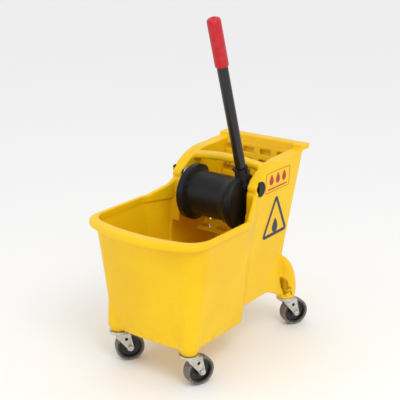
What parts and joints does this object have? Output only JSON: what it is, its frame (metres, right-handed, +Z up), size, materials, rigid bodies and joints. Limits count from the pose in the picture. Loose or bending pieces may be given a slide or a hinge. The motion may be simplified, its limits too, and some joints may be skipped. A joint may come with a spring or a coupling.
{
  "type": "mop bucket with wringer",
  "caption": "Wheeled mop bucket with a built-in press wringer, pulled down by a long gripped lever.",
  "frame": {"origin": "on the floor, under the middle of the bucket's plan", "axes": "+Z up, +X to the bucket's right-hand side, +Y to its back, where the wringer is; -Y is the open tub"},
  "size_m": [0.328, 0.558, 0.8137],
  "materials": {
    "yellow_plastic": "satin moulded polypropylene",
    "black_plastic": "satin moulded plastic",
    "black_paint": "satin black powder coat",
    "red_vinyl": "soft satin grip",
    "grey_tread": "matt non-marking tread",
    "wheel_hub": "satin moulded hub",
    "zinc_steel": "bright zinc plate"
  },
  "bodies": {
    "bucket": {"bucket_body": "yellow_plastic", "wringer_screen": "yellow_plastic", "screen_screws": "zinc_steel", "shaft_bush_left": "black_plastic", "shaft_bush_right": "black_plastic", "front_left_stem": "zinc_steel", "front_right_stem": "zinc_steel", "rear_left_stem": "zinc_steel", "rear_right_stem": "zinc_steel"},
    "press": {"press_drum": "black_plastic", "press_back_plate": "black_plastic", "press_shaft": "zinc_steel", "lever_tube": "black_paint", "handle_grip": "red_vinyl", "lever_bolt": "black_paint", "lever_nut": "black_paint", "return_spring": "zinc_steel"},
    "front_left_swivel": {"front_left_fork": "zinc_steel", "front_left_balls": "zinc_steel", "front_left_axle": "zinc_steel", "front_left_axle_nut": "zinc_steel"},
    "front_left_wheel": {"front_left_hub": "wheel_hub", "front_left_tyre": "grey_tread"},
    "front_right_swivel": {"front_right_fork": "zinc_steel", "front_right_balls": "zinc_steel", "front_right_axle": "zinc_steel", "front_right_axle_nut": "zinc_steel"},
    "front_right_wheel": {"front_right_hub": "wheel_hub", "front_right_tyre": "grey_tread"},
    "rear_left_swivel": {"rear_left_fork": "zinc_steel", "rear_left_balls": "zinc_steel", "rear_left_axle": "zinc_steel", "rear_left_axle_nut": "zinc_steel"},
    "rear_left_wheel": {"rear_left_hub": "wheel_hub", "rear_left_tyre": "grey_tread"},
    "rear_right_swivel": {"rear_right_fork": "zinc_steel", "rear_right_balls": "zinc_steel", "rear_right_axle": "zinc_steel", "rear_right_axle_nut": "zinc_steel"},
    "rear_right_wheel": {"rear_right_hub": "wheel_hub", "rear_right_tyre": "grey_tread"}
  },
  "joints": [
    {"name": "press_lever", "type": "hinge", "parent": "bucket", "child": "press", "pos_m": [0, 0.054, 0.408], "axis": [1, 0, 0], "range_deg": [0, 70], "stiffness_Nm_per_rad": 1.2, "springref_deg": -40.11},
    {"name": "front_left_swivel_turn", "type": "hinge", "parent": "bucket", "child": "front_left_swivel", "pos_m": [-0.105, -0.196, 0.0805], "axis": [0, 0, 1], "continuous": true},
    {"name": "front_left_wheel_spin", "type": "hinge", "parent": "front_left_swivel", "child": "front_left_wheel", "pos_m": [-0.08893, -0.17685, 0.035], "axis": [-0.766, 0.6428, 0], "continuous": true},
    {"name": "front_right_swivel_turn", "type": "hinge", "parent": "bucket", "child": "front_right_swivel", "pos_m": [0.105, -0.196, 0.0805], "axis": [0, 0, 1], "continuous": true},
    {"name": "front_right_wheel_spin", "type": "hinge", "parent": "front_right_swivel", "child": "front_right_wheel", "pos_m": [0.11436, -0.17282, 0.035], "axis": [-0.9272, 0.3746, 0], "continuous": true},
    {"name": "rear_left_swivel_turn", "type": "hinge", "parent": "bucket", "child": "rear_left_swivel", "pos_m": [-0.112, 0.204, 0.0805], "axis": [0, 0, 1], "continuous": true},
    {"name": "rear_left_wheel_spin", "type": "hinge", "parent": "rear_left_swivel", "child": "rear_left_wheel", "pos_m": [-0.09766, 0.22448, 0.035], "axis": [-0.8192, 0.5736, 0], "continuous": true},
    {"name": "rear_right_swivel_turn", "type": "hinge", "parent": "bucket", "child": "rear_right_swivel", "pos_m": [0.112, 0.204, 0.0805], "axis": [0, 0, 1], "continuous": true},
    {"name": "rear_right_wheel_spin", "type": "hinge", "parent": "rear_right_swivel", "child": "rear_right_wheel", "pos_m": [0.1245, 0.22565, 0.035], "axis": [-0.866, 0.5, 0], "continuous": true}
  ]
}
